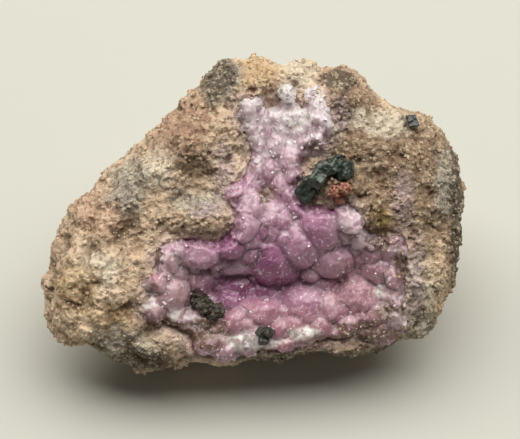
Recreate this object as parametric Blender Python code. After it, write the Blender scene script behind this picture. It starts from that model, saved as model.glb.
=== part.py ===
"""A hand specimen of spherocobaltite, resting with its crystal face up and leaning towards the viewer.

The stone is drawn face up: X runs right, Y runs up the face and Z comes out of it. An empty then leans
the whole specimen forward into the pose in which it lies on a table. Measures are in millimetres here
and are scaled to metres where a mesh is made.
"""

import math
import random
from collections import namedtuple

import bmesh
import bpy
import numpy as np
from mathutils import Matrix, Vector, noise
from mathutils.bvhtree import BVHTree

MM = 0.001

# Driving dimensions of the stone
FACE_RISE = 6.5
BACK_DEPTH = 19.5
LEAN = math.radians(35.0)
OUTLINE_ABOVE_TABLE = 15.0
FACE_BOXINESS = 2.7
BACK_BOXINESS = 2.25
BREAK_ROUNDING = 0.8
BREAK_STARTS_BEHIND = 4.0
FORM_STEEPNESS = 1.3
FORMS_FADE_OVER = (-0.02, 0.30)
FACE_TURNS_BACK = -0.05

# Roughness of the broken rock: how wide and how high its swells, knobs and chips are
SWELL_WIDTH = 7.0
SWELL_RISE = 0.55
KNOB_WIDTH = 3.1
KNOB_RISE = 1.05
KNOB_LEVEL = 0.55
CHIP_WIDTH = 1.9
CHIP_RISE = 0.42

# Driving dimensions of the crust and of the small minerals
GAP = 0.35
RHOMB_EDGE = 1.5
WORN_FROM = 1.9
CRUST_THICKNESS = 0.9
CRUST_RECESS = 1.1
CRUST_CELL = 0.75
CRUST_SHARE_KEPT = 0.19
CRUST_EDGE_SMOOTHED = (-0.6, 0.6)
CRUST_EDGE_SUNK = (-0.4, 0.9)
SHEET_MARGIN = 1.5
SHEET_CLEARS_CELLS = 0.6
SHEET_KEEPS_INSIDE = 0.3
FOOT_IN_SHEET = 0.7
CRYSTAL_REACH = 1.1
GRAIN_REACH = 0.8
WORN_GRAIN_FROM = 0.92
ABOVE_STONE = 40.0
ROOM_TOP = 30.0
PRISM_REACH = 20.0
SEED = 7

# Faces of the crystals: how many a dome has, how they turn and tilt, and how far in they are pressed
DOME_FACES = 9
DOME_TURN = 2.4
DOME_TURN_VARIES = 0.3
DOME_TILT = (0.25, 1.2)
DOME_FACE_REACH = (0.82, 0.92)
DOME_FACET_ANGLE = math.radians(9)
WORN_EDGE = (0.10, 0.16)

# Triangle shares
STONE_DETAIL = 6
STONE_TRIANGLES = 4100

# The stone's outline seen square to its crystal face, from the left tip round by the bottom
OUTLINE = [
    (-25.3, -9.1), (-24.8, -11.7), (-23.5, -14.3), (-22.0, -15.4), (-19.2, -14.9), (-18.7, -15.8),
    (-17.0, -17.0), (-13.6, -18.5), (-9.8, -18.2), (-7.8, -17.3), (-3.0, -17.3), (-1.6, -16.8),
    (2.1, -17.3), (7.3, -16.1), (10.0, -16.6), (14.1, -16.1), (17.2, -14.6), (20.2, -14.4),
    (21.9, -11.2), (23.3, -8.4), (24.3, -3.7), (24.0, -0.2), (24.7, 3.5), (23.6, 7.3),
    (22.3, 10.0), (19.9, 12.0), (16.1, 13.2), (13.4, 14.4), (12.0, 16.6), (10.0, 17.4),
    (7.3, 17.2), (5.9, 18.0), (4.2, 17.8), (3.2, 17.1), (2.0, 18.1), (-2.0, 18.4),
    (-3.7, 18.2), (-5.7, 17.0), (-6.4, 15.1), (-7.8, 14.8), (-9.8, 12.2), (-13.2, 9.0),
    (-16.6, 5.7), (-19.7, 2.8), (-22.4, 0.1), (-23.5, -2.3), (-24.3, -5.0),
]

# Where the crystals cover the stone, seen the same way: the neck, the right side, the floor, the left side
CRUST_OUTLINE = [
    (-1.9, 13.2), (0.6, 13.2), (2.4, 13.2), (3.6, 14.6), (5.6, 12.2), (7.1, 13.9),
    (8.4, 12.0), (8.9, 9.6), (7.8, 6.8), (5.6, 6.5), (5.3, 3.2), (6.6, 1.3),
    (10.6, 1.4), (12.6, -1.1), (15.2, -2.4), (17.4, -1.3), (17.1, -5.6), (17.4, -9.2),
    (16.6, -13.2), (13.8, -15.2), (9.4, -14.9), (5.2, -15.7), (1.0, -16.1), (-2.9, -16.7),
    (-6.9, -16.5), (-8.3, -14.6), (-12.6, -12.4), (-13.6, -11.1), (-12.1, -8.9), (-11.9, -5.0),
    (-10.0, -2.7), (-7.1, -2.5), (-4.4, -2.9), (-2.6, -1.4), (-3.2, 0.9), (-5.0, 2.0),
    (-1.9, 4.2), (-0.8, 7.3), (-2.2, 10.5),
]

# Planes along which the hidden sides broke away: the way each faces, and its distance from the middle
Break = namedtuple("Break", "facing reach")
BREAKS = [
    Break((-0.45, 0.70, -0.56), 15.2),
    Break((0.52, 0.50, -0.69), 18.0),
    Break((-0.78, -0.12, -0.61), 18.6),
    Break((0.08, -0.90, -0.43), 17.6),
    Break((0.88, -0.30, -0.36), 20.5),
    Break((0.05, 0.93, -0.36), 16.6),
]

# Forms of the crystal face: middle, half width, half height, turn in degrees, and rise out of the face
Form = namedtuple("Form", "x y wide tall turn rise")
FORMS = {
    "left knob": Form(-18.5, -7.5, 6.5, 7.5, 20, 2.6),
    "left knob's foot": Form(-19.0, -14.0, 4.0, 2.2, 0, 1.2),
    "upper left slope": Form(-9.5, 6.5, 7.5, 3.2, 42, 1.6),
    "ledge over the hollow": Form(-6.2, -0.4, 3.4, 1.7, -8, 2.3),
    "sandy cap": Form(-0.6, 16.0, 3.6, 2.6, 0, 2.2),
    "dark shoulder by the cap": Form(-5.2, 14.6, 1.6, 3.0, 20, 1.3),
    "pale lump at the top": Form(4.8, 16.4, 2.0, 1.6, 0, 1.5),
    "brown lump at the top": Form(10.3, 14.4, 3.0, 3.2, 0, 2.8),
    "right shoulder": Form(15.5, 6.0, 7.5, 6.5, 0, 2.2),
    "right flank": Form(20.0, -5.0, 4.0, 8.0, 0, 1.5),
    "grain bank by the green crystals": Form(9.5, 3.4, 3.2, 2.0, -20, 1.4),
    "olive bank": Form(13.6, -0.4, 2.6, 1.8, -15, 1.3),
    "lower left foot": Form(-12.5, -15.8, 3.6, 2.0, -8, 1.6),
    "front lip": Form(3.0, -15.6, 9.0, 1.5, 3, 1.0),
    "hollow": Form(2.6, -8.2, 8.2, 3.5, 2, -3.3),
    "left bay of the hollow": Form(-7.0, -8.4, 5.0, 3.8, 30, -2.1),
    "right bay of the hollow": Form(12.5, -7.0, 4.5, 4.2, 0, -1.8),
    "neck groove": Form(2.4, 5.5, 2.6, 7.0, -8, -2.2),
    "pit by the left knob": Form(-13.6, -3.4, 1.4, 1.3, 0, -1.0),
}

# Crystals that can be told apart: place on the face, half width, height out of the crust, flatness,
# turn about the way out, lean in degrees, and whether the crystal is a rounded dome or a flat-faced rhomb
Crystal = namedtuple("Crystal", "x y size lift flat turn lean_right lean_up dome")
CRYSTALS = [
    Crystal(2.6, -5.2, 3.1, 0.3, 0.72, 20, 0, -14, False),
    Crystal(5.6, -3.1, 2.1, 0.5, 0.70, 52, 12, -8, False),
    Crystal(8.9, -5.0, 2.5, 0.5, 0.72, 0, 8, -6, True),
    Crystal(8.0, -7.6, 1.8, 0.2, 0.70, 30, 4, -16, True),
    Crystal(7.6, -1.6, 2.1, 0.4, 0.70, 10, 6, -18, True),
    Crystal(10.8, -0.3, 1.6, 0.6, 0.55, 35, 12, 4, False),
    Crystal(5.4, -9.9, 2.3, 0.5, 0.72, 0, 0, 10, True),
    Crystal(8.5, -10.1, 1.7, 0.4, 0.75, 22, 6, 6, False),
    Crystal(11.6, -9.4, 2.3, 0.5, 0.72, 0, 10, 0, True),
    Crystal(13.9, -10.9, 1.4, 0.4, 0.70, 40, 14, 4, False),
    Crystal(13.6, -5.6, 2.0, 0.3, 0.62, 12, 16, -4, False),
    Crystal(16.0, -3.9, 1.3, 0.3, 0.65, 28, 10, 0, False),
    Crystal(7.6, -12.8, 1.6, 0.2, 0.60, 48, 0, 16, False),
    Crystal(10.7, -12.3, 1.4, 0.3, 0.70, 15, 6, 10, False),
    Crystal(-1.3, 2.0, 2.3, 0.6, 0.50, 25, -10, -4, False),
    Crystal(1.4, 0.5, 1.7, 0.7, 0.50, 50, 4, -12, False),
    Crystal(-0.4, -2.2, 1.5, 0.3, 0.66, 5, -4, -20, False),
    Crystal(-2.9, -4.2, 1.9, 0.2, 0.66, 40, -8, -20, False),
    Crystal(-2.8, -6.5, 2.1, 0.4, 0.50, 15, 0, -26, False),
    Crystal(-6.7, -4.1, 2.4, 0.5, 0.50, 30, -8, -10, False),
    Crystal(-6.3, -7.4, 2.2, 0.4, 0.60, 8, 6, -10, False),
    Crystal(-10.0, -5.2, 1.7, 0.3, 0.60, 22, -10, 0, False),
    Crystal(-11.0, -7.8, 1.4, 0.3, 0.66, 44, -12, 4, False),
    Crystal(-10.0, -9.7, 2.2, 0.7, 0.72, 34, -4, 12, False),
    Crystal(-10.6, -11.6, 1.3, 0.3, 0.66, 10, -10, 14, False),
    Crystal(0.9, -10.5, 2.0, 0.3, 0.66, 26, -6, 8, False),
    Crystal(-1.9, -9.1, 1.6, 0.0, 0.60, 50, 0, -6, False),
    Crystal(1.8, -13.0, 1.8, 0.3, 0.60, 18, 0, 14, False),
    Crystal(-2.2, -12.4, 1.7, 0.2, 0.60, 40, -6, 12, False),
    Crystal(-5.7, -14.1, 1.8, 0.2, 0.60, 12, -8, 16, False),
    Crystal(1.8, 3.6, 1.6, 0.2, 0.60, 33, 0, -10, False),
    Crystal(3.5, 1.5, 1.5, 0.3, 0.62, 8, 6, -10, False),
    Crystal(1.6, 6.4, 1.3, 0.3, 0.60, 45, -4, -6, False),
]

# Smaller crystals fill the crust between these: how many places are tried, and the range of half widths
FILL_TRIES = 400
FILL_SMALLEST = 0.6
FILL_LARGEST = 1.5
FILL_GROWS_INWARD = 0.35
FILL_VARIES_FROM = 0.75
FILL_SPACING = 0.58
FILL_INSIDE_EDGE = 0.3
FILL_LIFT = 0.25
FILL_FLATNESS = 0.8
FILL_TURN = 60
FILL_LEAN = 16
NECK_FROM_Y = 4.5
NECK_SHARE = 0.72

# Grains of the other minerals: place on the face, half sizes, turn and lean, and how far they stand out
Grain = namedtuple("Grain", "x y wide tall high turn lean sunk")
GREEN_CRYSTALS = [
    Grain(8.2, 5.2, 1.40, 1.10, 1.0, 24, 14, 0.25),
    Grain(9.2, 5.6, 1.10, 0.95, 1.0, 50, 18, 0.25),
    Grain(10.1, 4.9, 0.90, 1.20, 1.0, -12, -10, 0.25),
    Grain(7.1, 4.0, 1.15, 1.00, 1.0, 40, 6, 0.25),
    Grain(5.9, 2.7, 1.15, 1.25, 1.1, 12, -12, 0.25),
    Grain(6.4, 3.5, 0.85, 0.75, 1.0, 66, 20, 0.30),
]
RUST_GRAINS = [
    Grain(9.0, 2.7, 0.85, 0.80, 0.75, 30, 10, 0.20),
    Grain(10.1, 2.9, 0.80, 0.75, 0.70, 5, -8, 0.20),
    Grain(9.4, 1.8, 0.70, 0.60, 0.65, 50, 12, 0.20),
]
BLACK_CHIP = [
    Grain(18.0, 10.8, 0.80, 1.05, 0.60, 12, 6, 0.10),
]
DARK_BEADS = [
    Grain(0.7, -13.6, 0.60, 0.55, 0.60, 0, 0, 0.25),
    Grain(1.4, -13.5, 0.60, 0.55, 0.60, 30, 0, 0.25),
    Grain(0.9, -14.3, 0.55, 0.60, 0.60, 60, 0, 0.25),
]
HOLLOW_GRAINS = [
    Grain(-7.1, -9.9, 0.95, 1.10, 0.90, 10, 0, 0.30),
    Grain(-6.0, -10.6, 1.05, 0.90, 0.90, 40, 0, 0.30),
    Grain(-4.7, -11.3, 1.05, 0.85, 0.85, 70, 0, 0.30),
]


def srgb(hex_colour):
    """A colour written as sRGB hex, in the linear values that materials take."""
    channels = [int(hex_colour[i:i + 2], 16) / 255 for i in (0, 2, 4)]
    return [c / 12.92 if c <= 0.04045 else ((c + 0.055) / 1.055) ** 2.4 for c in channels] + [1.0]


def mineral(name, hex_colour, roughness):
    material = bpy.data.materials.new(name)
    material.use_nodes = True
    shader = material.node_tree.nodes["Principled BSDF"]
    shader.inputs["Base Color"].default_value = srgb(hex_colour)
    shader.inputs["Roughness"].default_value = roughness
    shader.inputs["Metallic"].default_value = 0.0
    return material


def clear_scene():
    for obj in list(bpy.data.objects):
        bpy.data.objects.remove(obj)


def collection(name, shown):
    made = bpy.data.collections.new(name)
    made.hide_render = not shown
    bpy.context.scene.collection.children.link(made)
    return made


def object_from(bm, name, home):
    mesh = bpy.data.meshes.new(name)
    bm.to_mesh(mesh)
    bm.free()
    obj = bpy.data.objects.new(name, mesh)
    home.objects.link(obj)
    return obj


def evaluated_copy(obj, name, home):
    """The object as its modifiers leave it, as a plain mesh in an object of its own."""
    graph = bpy.context.evaluated_depsgraph_get()
    mesh = bpy.data.meshes.new_from_object(obj.evaluated_get(graph))
    made = bpy.data.objects.new(name, mesh)
    home.objects.link(made)
    return made


def keep_largest_shell(mesh):
    """Fills the pockets that crystals close between them, and drops what a socket cut loose."""
    bm = bmesh.new()
    bm.from_mesh(mesh)
    shells, unseen = [], set(bm.verts)
    while unseen:
        shell, edge_of_shell = set(), [unseen.pop()]
        while edge_of_shell:
            vert = edge_of_shell.pop()
            shell.add(vert)
            reached = {e.other_vert(vert) for e in vert.link_edges} & unseen
            unseen -= reached
            edge_of_shell += reached
        shells.append(shell)
    largest = max(shells, key=len)
    bmesh.ops.delete(bm, geom=[v for v in bm.verts if v not in largest], context="VERTS")
    bm.to_mesh(mesh)
    bm.free()


def boolean(obj, operation, *, other=None, group=None):
    modifier = obj.modifiers.new(operation.title(), "BOOLEAN")
    modifier.operation = operation
    modifier.solver = "EXACT"
    if group:
        modifier.operand_type = "COLLECTION"
        modifier.collection = group
    else:
        modifier.object = other
    return modifier


def smooth_step(value, low, high):
    t = np.clip((value - low) / (high - low), 0.0, 1.0)
    return t * t * (3 - 2 * t)


def outline_reach(angle):
    """How far the outline lies from the middle, in the direction of each angle."""
    points = np.array(OUTLINE)
    angles = np.arctan2(points[:, 1], points[:, 0])
    order = np.argsort(angles)
    return np.interp(angle, angles[order], np.hypot(*points.T)[order], period=2 * math.pi)


def depth_inside(points, polygon):
    """How far each point lies inside a closed outline; points outside it are negative."""
    corners = np.array(polygon)
    nearest = np.full(len(points), np.inf)
    inside = np.zeros(len(points), bool)
    for a, b in zip(corners, np.roll(corners, -1, axis=0)):
        side = b - a
        along = np.clip(((points - a) @ side) / (side @ side), 0, 1)
        nearest = np.minimum(nearest, np.linalg.norm(points - a - along[:, None] * side, axis=1))
        crosses = (a[1] > points[:, 1]) != (b[1] > points[:, 1])
        at = a[0] + (points[:, 1] - a[1]) * side[0] / (side[1] or 1e-9)
        inside ^= crosses & (points[:, 0] < at)
    return np.where(inside, nearest, -nearest)


def blank_stone(ways):
    """The stone before its forms: the outline swept into a flattened face and a deep, rounder back."""
    level = np.hypot(ways[:, 0], ways[:, 1])
    out = ways[:, 2]
    power = np.where(out > 0, FACE_BOXINESS, BACK_BOXINESS)
    scale = (level ** power + np.abs(out) ** power) ** (-1 / power)
    angle = np.arctan2(ways[:, 1], ways[:, 0])
    reach = outline_reach(angle) * level * scale
    rise = out * scale * np.where(out > 0, FACE_RISE, BACK_DEPTH)
    return np.column_stack([reach * np.cos(angle), reach * np.sin(angle), rise])


def break_sides(points):
    """Presses the hidden sides back to their break planes, and leaves the outline as it is."""
    behind = smooth_step(-points[:, 2], 0.0, BREAK_STARTS_BEHIND)
    for side in BREAKS:
        facing = np.array(side.facing) / np.linalg.norm(side.facing)
        excess = points @ facing - side.reach
        pressed = BREAK_ROUNDING * np.logaddexp(0, excess / BREAK_ROUNDING) * behind
        points = points - np.outer(pressed, facing)
    return points


def raise_forms(points, ways):
    """Adds the lumps and hollows of the crystal face, fading out at the outline."""
    on_face = smooth_step(ways[:, 2], *FORMS_FADE_OVER)
    for form in FORMS.values():
        turn = math.radians(form.turn)
        x, y = points[:, 0] - form.x, points[:, 1] - form.y
        along = (x * math.cos(turn) + y * math.sin(turn)) / form.wide
        across = (y * math.cos(turn) - x * math.sin(turn)) / form.tall
        points[:, 2] += form.rise * np.exp(-(along ** 2 + across ** 2) ** FORM_STEEPNESS) * on_face
    return points


def weathering(point, rough):
    """How far the broken rock stands out at a point: in broad swells, in knobs and in small chips."""
    swell = noise.fractal(Vector(point) / SWELL_WIDTH, 0.9, 2.1, 3) * SWELL_RISE
    nearest = noise.voronoi(Vector(point) / KNOB_WIDTH, distance_metric="DISTANCE")[0]
    knob = (KNOB_LEVEL - nearest[0]) * KNOB_RISE
    chip = noise.fractal(Vector(point) / CHIP_WIDTH + Vector((9, 4, 2)), 0.8, 2.0, 3) * CHIP_RISE
    return (swell + knob + chip) * rough


def make_stone(helpers):
    """The host rock, with the hollow for the crust in its face and a flat break to rest on."""
    bm = bmesh.new()
    bmesh.ops.create_icosphere(bm, subdivisions=STONE_DETAIL, radius=1.0)
    ways = np.array([v.co for v in bm.verts])
    points = raise_forms(break_sides(blank_stone(ways)), ways)
    under_crust = depth_inside(points[:, :2], CRUST_OUTLINE)
    on_face = ways[:, 2] > FACE_TURNS_BACK
    bare = 1 - smooth_step(under_crust, *CRUST_EDGE_SMOOTHED) * on_face
    points[:, 2] -= CRUST_RECESS * smooth_step(under_crust, *CRUST_EDGE_SUNK) * on_face
    for vert, point in zip(bm.verts, points):
        vert.co = point
    bm.normal_update()
    for vert, point, rough in zip(bm.verts, points, bare):
        vert.co = Vector(point) + vert.normal * weathering(point, rough)
    for vert in bm.verts:
        vert.co *= MM
    rough_stone = object_from(bm, "rough stone", helpers)
    decimate = rough_stone.modifiers.new("Facets", "DECIMATE")
    decimate.ratio = STONE_TRIANGLES / len(rough_stone.data.polygons)
    stone = evaluated_copy(rough_stone, "stone without sockets", helpers)
    cut_base(stone)
    return stone


def cut_base(stone):
    """Cuts the stone flat where it rests: the table's plane, as the leaning stone sees it."""
    down = Vector((0.0, -math.sin(LEAN), -math.cos(LEAN)))
    bm = bmesh.new()
    bm.from_mesh(stone.data)
    cut = bmesh.ops.bisect_plane(
        bm,
        geom=bm.verts[:] + bm.edges[:] + bm.faces[:],
        plane_co=down * OUTLINE_ABOVE_TABLE * MM,
        plane_no=down,
        clear_outer=True,
    )
    rim = [e for e in cut["geom_cut"] if isinstance(e, bmesh.types.BMEdge)]
    bmesh.ops.edgeloop_fill(bm, edges=rim)
    bmesh.ops.recalc_face_normals(bm, faces=bm.faces[:])
    bm.to_mesh(stone.data)
    bm.free()


class Surface:
    """Finds the stone's surface under a place on the face, and the way out of the stone there."""

    def __init__(self, obj):
        bm = bmesh.new()
        bm.from_mesh(obj.data)
        self.tree = BVHTree.FromBMesh(bm)
        bm.free()

    def height(self, x, y):
        hit = self.tree.ray_cast(Vector((x, y, ABOVE_STONE)) * MM, Vector((0, 0, -1)))[0]
        return hit.z / MM if hit else -math.inf

    def height_nearby(self, x, y, reach):
        """The highest point within reach, so that a sheet laid over these heights clears every edge."""
        angles = np.linspace(0, 2 * math.pi, 9)[1:]
        around = [(x + reach * math.cos(a), y + reach * math.sin(a)) for a in angles]
        return max(self.height(*place) for place in [(x, y)] + around)

    def way_out(self, x, y, reach):
        """The slope averaged over a patch about as wide as a crystal."""
        rise_x = (self.height(x + reach, y) - self.height(x - reach, y)) / (2 * reach)
        rise_y = (self.height(x, y + reach) - self.height(x, y - reach)) / (2 * reach)
        return Vector((-rise_x, -rise_y, 1.0)).normalized()


def outline_prism(points, name, home):
    """A flat outline standing through the whole face, as a closed mesh."""
    curve = bpy.data.curves.new(name, "CURVE")
    curve.dimensions = "2D"
    curve.fill_mode = "BOTH"
    curve.extrude = PRISM_REACH * MM
    spline = curve.splines.new("POLY")
    spline.points.add(len(points) - 1)
    for place, (x, y) in zip(spline.points, points):
        place.co = (x * MM, y * MM, 0, 1)
    spline.use_cyclic_u = True
    drawn = bpy.data.objects.new(name + " curve", curve)
    home.objects.link(drawn)
    prism = evaluated_copy(drawn, name, home)
    bpy.data.objects.remove(drawn)
    bm = bmesh.new()
    bm.from_mesh(prism.data)
    bmesh.ops.remove_doubles(bm, verts=bm.verts, dist=1e-6)
    bmesh.ops.recalc_face_normals(bm, faces=bm.faces[:])
    bm.to_mesh(prism.data)
    bm.free()
    return prism


def lay_over(surface, lift, thickness, name, home):
    """A closed sheet that follows the stone at a lift; with no thickness it fills the space above instead."""
    corners = np.array(CRUST_OUTLINE)
    low, high = corners.min(0) - SHEET_MARGIN, corners.max(0) + SHEET_MARGIN
    middle, span = (low + high) / 2, high - low
    cells = np.ceil(span / CRUST_CELL).astype(int)
    bm = bmesh.new()
    bmesh.ops.create_grid(bm, x_segments=int(cells[0]), y_segments=int(cells[1]), size=1.0)
    for vert in bm.verts:
        x, y = middle[0] + vert.co.x * span[0] / 2, middle[1] + vert.co.y * span[1] / 2
        vert.co = (x, y, surface.height_nearby(x, y, CRUST_CELL * SHEET_CLEARS_CELLS) + lift)
    edge = depth_inside(np.array([v.co[:2] for v in bm.verts]), OUTLINE)
    outside = [v for v, depth in zip(bm.verts, edge) if depth < SHEET_KEEPS_INSIDE]
    bmesh.ops.delete(bm, geom=outside, context="VERTS")
    above = bmesh.ops.extrude_face_region(bm, geom=bm.faces[:])["geom"]
    for vert in (v for v in above if isinstance(v, bmesh.types.BMVert)):
        vert.co.z = vert.co.z + thickness if thickness else ROOM_TOP
    bmesh.ops.recalc_face_normals(bm, faces=bm.faces[:])
    bmesh.ops.scale(bm, vec=(MM, MM, MM), verts=bm.verts)
    return object_from(bm, name, home)


def flatten_against(bm, facing, reach):
    """Presses every vertex beyond a plane back onto it, which leaves a flat face."""
    for vert in bm.verts:
        excess = vert.co.dot(facing) - reach
        if excess > 0:
            vert.co -= facing * excess


def dome_blank(rng):
    """A rounded crystal: a ball pressed flat on a few growth faces."""
    bm = bmesh.new()
    bmesh.ops.create_icosphere(bm, subdivisions=2, radius=1.0)
    for step in range(DOME_FACES):
        turn = step * DOME_TURN + rng.uniform(-DOME_TURN_VARIES, DOME_TURN_VARIES)
        tilt = rng.uniform(*DOME_TILT)
        facing = Vector((math.cos(turn) * math.sin(tilt), math.sin(turn) * math.sin(tilt), math.cos(tilt)))
        flatten_against(bm, facing, rng.uniform(*DOME_FACE_REACH))
    bmesh.ops.dissolve_limit(bm, angle_limit=DOME_FACET_ANGLE, verts=bm.verts, edges=bm.edges)
    return bm


def rhomb_blank(rng, worn):
    """A calcite rhomb: a cube stood on its corner, with its edges worn where it is large enough to show."""
    bm = bmesh.new()
    bmesh.ops.create_cube(bm, size=RHOMB_EDGE)
    on_corner = Vector((1, 1, 1)).rotation_difference(Vector((0, 0, 1))).to_matrix()
    bmesh.ops.rotate(bm, verts=bm.verts, matrix=on_corner)
    if not worn:
        return bm
    bmesh.ops.bevel(
        bm,
        geom=bm.edges[:],
        offset=rng.uniform(*WORN_EDGE),
        offset_type="OFFSET",
        segments=1,
        profile=0.5,
        affect="EDGES",
    )
    return bm


def grow_crystal(crystal, surface, rng, home):
    """One crystal standing on the crust, turned and leant as it grew."""
    bm = dome_blank(rng) if crystal.dome else rhomb_blank(rng, worn=crystal.size > WORN_FROM)
    out = surface.way_out(crystal.x, crystal.y, CRYSTAL_REACH)
    lean = Matrix.Rotation(math.radians(crystal.lean_right), 3, "Y")
    lean = Matrix.Rotation(math.radians(-crystal.lean_up), 3, "X") @ lean
    stand = Vector((0, 0, 1)).rotation_difference(lean @ out).to_matrix()
    turn = Matrix.Rotation(math.radians(crystal.turn), 3, "Z")
    shape = Matrix.Diagonal((crystal.size, crystal.size, crystal.size * crystal.flat))
    bmesh.ops.transform(bm, matrix=(stand @ turn @ shape).to_4x4(), verts=bm.verts)
    foot = Vector((crystal.x, crystal.y, surface.height(crystal.x, crystal.y)))
    rise = GAP + CRUST_THICKNESS * FOOT_IN_SHEET + crystal.lift
    bmesh.ops.translate(bm, vec=foot + out * rise, verts=bm.verts)
    bmesh.ops.scale(bm, vec=(MM, MM, MM), verts=bm.verts)
    return object_from(bm, "crystal", home)


def filling_crystals(rng):
    """Smaller crystals in the room that the named ones leave, finer towards the edge and in the neck."""
    corners = np.array(CRUST_OUTLINE)
    (west, south), (east, north) = corners.min(0), corners.max(0)
    found = list(CRYSTALS)
    for _ in range(FILL_TRIES):
        x, y = rng.uniform(west, east), rng.uniform(south, north)
        depth = depth_inside(np.array([(x, y)]), CRUST_OUTLINE)[0]
        largest = min(FILL_LARGEST, FILL_SMALLEST + depth * FILL_GROWS_INWARD)
        largest *= NECK_SHARE if y > NECK_FROM_Y else 1
        size = max(FILL_SMALLEST, rng.uniform(FILL_VARIES_FROM, 1) * largest)
        turn = rng.uniform(0, FILL_TURN)
        lean_right, lean_up = rng.uniform(-FILL_LEAN, FILL_LEAN), rng.uniform(-FILL_LEAN, FILL_LEAN)
        room = min(math.hypot(x - c.x, y - c.y) - FILL_SPACING * (size + c.size) for c in found)
        if depth > size * FILL_INSIDE_EDGE and room > 0:
            found.append(Crystal(x, y, size, FILL_LIFT, FILL_FLATNESS, turn, lean_right, lean_up, False))
    return found[len(CRYSTALS):]


def make_crust(surface, helpers):
    """A continuous sheet over the stone, and every crystal that stands on it, as one body."""
    rng = random.Random(SEED)
    sheet = lay_over(surface, GAP, CRUST_THICKNESS, "crust sheet", helpers)
    fewer = sheet.modifiers.new("Fewer faces where it is flat", "DECIMATE")
    fewer.ratio = CRUST_SHARE_KEPT
    boolean(sheet, "INTERSECT", other=outline_prism(CRUST_OUTLINE, "crust outline", helpers))
    crystals = bpy.data.collections.new("crystals to join")
    helpers.children.link(crystals)
    first, *_ = [
        grow_crystal(crystal, surface, rng, crystals) for crystal in CRYSTALS + filling_crystals(rng)
    ]
    crystals.objects.unlink(first)
    helpers.objects.link(first)
    boolean(first, "UNION", group=crystals)
    room = lay_over(surface, GAP + CRUST_THICKNESS / 2, 0, "room for crystals", helpers)
    boolean(first, "INTERSECT", other=room)
    boolean(sheet, "UNION", other=first)
    return evaluated_copy(sheet, "crust without sockets", helpers)


def grain_mesh(grain, surface, rng, clearance):
    """A small blocky crystal or bead, half sunk in what carries it."""
    bm = rhomb_blank(rng, worn=grain.high > WORN_GRAIN_FROM)
    out = surface.way_out(grain.x, grain.y, GRAIN_REACH)
    stand = Vector((0, 0, 1)).rotation_difference(out).to_matrix()
    turn = Matrix.Rotation(math.radians(grain.turn), 3, "Z")
    turn = turn @ Matrix.Rotation(math.radians(grain.lean), 3, "Y")
    shape = Matrix.Diagonal((grain.wide + clearance, grain.tall + clearance, grain.high + clearance))
    bmesh.ops.transform(bm, matrix=(stand @ turn @ shape).to_4x4(), verts=bm.verts)
    middle = Vector((grain.x, grain.y, surface.height(grain.x, grain.y))) + out * grain.high * grain.sunk
    bmesh.ops.translate(bm, vec=middle, verts=bm.verts)
    bmesh.ops.scale(bm, vec=(MM, MM, MM), verts=bm.verts)
    return bm


def make_grains(name, grains, carriers, surface, home, helpers):
    """Grains of one mineral that have grown together, and the socket that each carrier has for them."""
    fitted = []
    for clearance in (0.0, GAP):
        rng = random.Random(name)
        first, *others = [
            object_from(grain_mesh(grain, surface, rng, clearance), "grain", helpers) for grain in grains
        ]
        for other in others:
            boolean(first, "UNION", other=other)
        fitted.append(first)
    for carrier in carriers:
        boolean(carrier, "DIFFERENCE", other=fitted[1])
    return evaluated_copy(fitted[0], name, home)


def with_sockets(carrier, name, home):
    made = evaluated_copy(carrier, name, home)
    keep_largest_shell(made.data)
    return made


def dress(obj, material):
    obj.data.materials.clear()
    obj.data.materials.append(material)
    obj.data.polygons.foreach_set("use_smooth", [False] * len(obj.data.polygons))
    return obj


def settle(objects):
    """Leans the specimen into the pose in which it rests, with its base's middle at the origin."""
    lean = Matrix.Rotation(LEAN, 4, "X")
    bpy.context.view_layer.update()
    graph = bpy.context.evaluated_depsgraph_get()
    corners = []
    for obj in objects:
        mesh = obj.evaluated_get(graph).to_mesh()
        corners += [lean @ v.co for v in mesh.vertices]
    low = Vector([min(c[i] for c in corners) for i in range(3)])
    high = Vector([max(c[i] for c in corners) for i in range(3)])
    pose = bpy.data.objects.new("pose on the table", None)
    bpy.context.scene.collection.objects.link(pose)
    pose.rotation_euler.x = LEAN
    pose.location = (-(low.x + high.x) / 2, -(low.y + high.y) / 2, -low.z)
    for obj in objects:
        obj.parent = pose


def main():
    clear_scene()
    home = collection("spherocobaltite specimen", shown=True)
    helpers = collection("helpers", shown=False)
    stone = make_stone(helpers)
    on_stone = Surface(stone)
    crust = make_crust(on_stone, helpers)
    on_crust = Surface(crust)
    nodes = []
    for name, grains, carriers, surface, hex_colour, roughness in [
        ("malachite_crystals", GREEN_CRYSTALS, [stone, crust], on_stone, "2F3B36", 0.35),
        ("rust_red_grains", RUST_GRAINS, [stone, crust], on_stone, "9A4A32", 0.70),
        ("black_chip", BLACK_CHIP, [stone], on_stone, "1E2426", 0.30),
        ("dark_beads", DARK_BEADS, [crust], on_crust, "35352C", 0.50),
        ("hollow_grains", HOLLOW_GRAINS, [crust], on_crust, "3A352F", 0.60),
    ]:
        made = make_grains(name, grains, carriers, surface, home, helpers)
        nodes.append(dress(made, mineral(name.replace("_", " "), hex_colour, roughness)))
    for carrier, name, look, hex_colour, roughness in [
        (stone, "matrix", "brown dolomitic host rock", "A68C6E", 0.95),
        (crust, "spherocobaltite_crust", "pink spherocobaltite", "B07CA6", 0.40),
    ]:
        nodes.append(dress(with_sockets(carrier, name, home), mineral(look, hex_colour, roughness)))
    settle(nodes)


main()
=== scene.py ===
import math
from collections import namedtuple

import bpy
import numpy as np
from mathutils import Matrix, Vector, noise
from mathutils.bvhtree import BVHTree


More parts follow.
